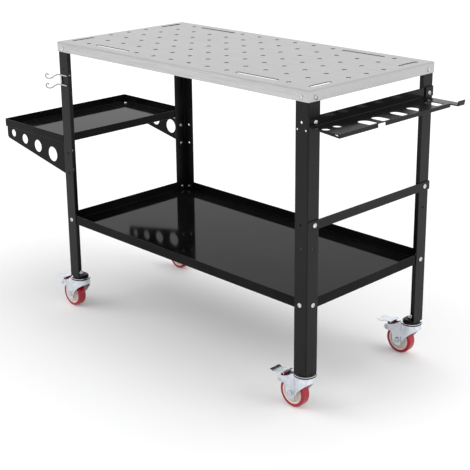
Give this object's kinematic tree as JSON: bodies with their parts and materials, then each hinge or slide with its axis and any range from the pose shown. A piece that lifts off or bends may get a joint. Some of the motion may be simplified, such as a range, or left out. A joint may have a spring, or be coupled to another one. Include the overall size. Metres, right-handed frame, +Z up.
{
  "type": "welding table",
  "caption": "Portable perforated steel welding table on angle legs with a bottom tray, a bracketed side tray, a tool rack, hooks and braked swivel casters.",
  "frame": {"origin": "on the floor under the middle of the whole outline, side tray and hooks included", "axes": "+X along the long side towards the tool rack, -Y the front, +Z up"},
  "size_m": [1.297, 0.4662, 0.778],
  "materials": {
    "plate_steel": "brushed bare steel with a fine even grain",
    "black_coat": "semi-gloss black powder coat",
    "zinc_fastener": "bright zinc plate",
    "wire_chrome": "bright plated wire",
    "caster_zinc": "clear zinc plate, pressed steel",
    "wheel_hub": "cream nylon",
    "wheel_tyre": "glossy red polyurethane"
  },
  "bodies": {
    "frame": {"tabletop": "plate_steel", "leg_front_left": "black_coat", "leg_front_right": "black_coat", "leg_back_left": "black_coat", "leg_back_right": "black_coat", "bottom_tray": "black_coat", "side_tray": "black_coat", "side_bracket_front": "black_coat", "side_bracket_back": "black_coat", "tool_rack": "black_coat", "end_rail": "black_coat", "hook_arm": "black_coat", "torch_hook": "wire_chrome", "frame_bolts": "zinc_fastener", "frame_nuts": "zinc_fastener", "accessory_bolts": "zinc_fastener", "accessory_nuts": "zinc_fastener", "stem_nuts": "zinc_fastener", "stem_collars": "black_coat", "swivel_balls": "zinc_fastener", "fl_stem": "caster_zinc", "fr_stem": "caster_zinc", "bl_stem": "caster_zinc", "br_stem": "caster_zinc"},
    "fl_swivel": {"fl_fork": "caster_zinc", "fl_axle": "caster_zinc", "fl_axle_nut": "caster_zinc", "fl_pedal_pin": "caster_zinc"},
    "fl_wheel": {"fl_hub": "wheel_hub", "fl_tyre": "wheel_tyre"},
    "fl_brake": {"fl_pedal": "caster_zinc"},
    "fr_swivel": {"fr_fork": "caster_zinc", "fr_axle": "caster_zinc", "fr_axle_nut": "caster_zinc", "fr_pedal_pin": "caster_zinc"},
    "fr_wheel": {"fr_hub": "wheel_hub", "fr_tyre": "wheel_tyre"},
    "fr_brake": {"fr_pedal": "caster_zinc"},
    "bl_swivel": {"bl_fork": "caster_zinc", "bl_axle": "caster_zinc", "bl_axle_nut": "caster_zinc", "bl_pedal_pin": "caster_zinc"},
    "bl_wheel": {"bl_hub": "wheel_hub", "bl_tyre": "wheel_tyre"},
    "bl_brake": {"bl_pedal": "caster_zinc"},
    "br_swivel": {"br_fork": "caster_zinc", "br_axle": "caster_zinc", "br_axle_nut": "caster_zinc", "br_pedal_pin": "caster_zinc"},
    "br_wheel": {"br_hub": "wheel_hub", "br_tyre": "wheel_tyre"},
    "br_brake": {"br_pedal": "caster_zinc"}
  },
  "joints": [
    {"name": "fl_swivel_turn", "type": "hinge", "parent": "frame", "child": "fl_swivel", "pos_m": [-0.34104, -0.2056, 0.09075], "axis": [0, 0, 1], "continuous": true},
    {"name": "fl_wheel_spin", "type": "hinge", "parent": "fl_swivel", "child": "fl_wheel", "pos_m": [-0.37304, -0.2056, 0.0375], "axis": [0, 1, 0], "continuous": true},
    {"name": "fl_brake_press", "type": "hinge", "parent": "fl_swivel", "child": "fl_brake", "pos_m": [-0.40904, -0.2056, 0.062], "axis": [0, -1, 0], "range_deg": [0, 12]},
    {"name": "fr_swivel_turn", "type": "hinge", "parent": "frame", "child": "fr_swivel", "pos_m": [0.52716, -0.2056, 0.09075], "axis": [0, 0, 1], "continuous": true},
    {"name": "fr_wheel_spin", "type": "hinge", "parent": "fr_swivel", "child": "fr_wheel", "pos_m": [0.49516, -0.2056, 0.0375], "axis": [0, 1, 0], "continuous": true},
    {"name": "fr_brake_press", "type": "hinge", "parent": "fr_swivel", "child": "fr_brake", "pos_m": [0.45916, -0.2056, 0.062], "axis": [0, -1, 0], "range_deg": [0, 12]},
    {"name": "bl_swivel_turn", "type": "hinge", "parent": "frame", "child": "bl_swivel", "pos_m": [-0.34104, 0.2056, 0.09075], "axis": [0, 0, 1], "continuous": true},
    {"name": "bl_wheel_spin", "type": "hinge", "parent": "bl_swivel", "child": "bl_wheel", "pos_m": [-0.37304, 0.2056, 0.0375], "axis": [0, 1, 0], "continuous": true},
    {"name": "bl_brake_press", "type": "hinge", "parent": "bl_swivel", "child": "bl_brake", "pos_m": [-0.40904, 0.2056, 0.062], "axis": [0, -1, 0], "range_deg": [0, 12]},
    {"name": "br_swivel_turn", "type": "hinge", "parent": "frame", "child": "br_swivel", "pos_m": [0.52716, 0.2056, 0.09075], "axis": [0, 0, 1], "continuous": true},
    {"name": "br_wheel_spin", "type": "hinge", "parent": "br_swivel", "child": "br_wheel", "pos_m": [0.49516, 0.2056, 0.0375], "axis": [0, 1, 0], "continuous": true},
    {"name": "br_brake_press", "type": "hinge", "parent": "br_swivel", "child": "br_brake", "pos_m": [0.45916, 0.2056, 0.062], "axis": [0, -1, 0], "range_deg": [0, 12]}
  ]
}
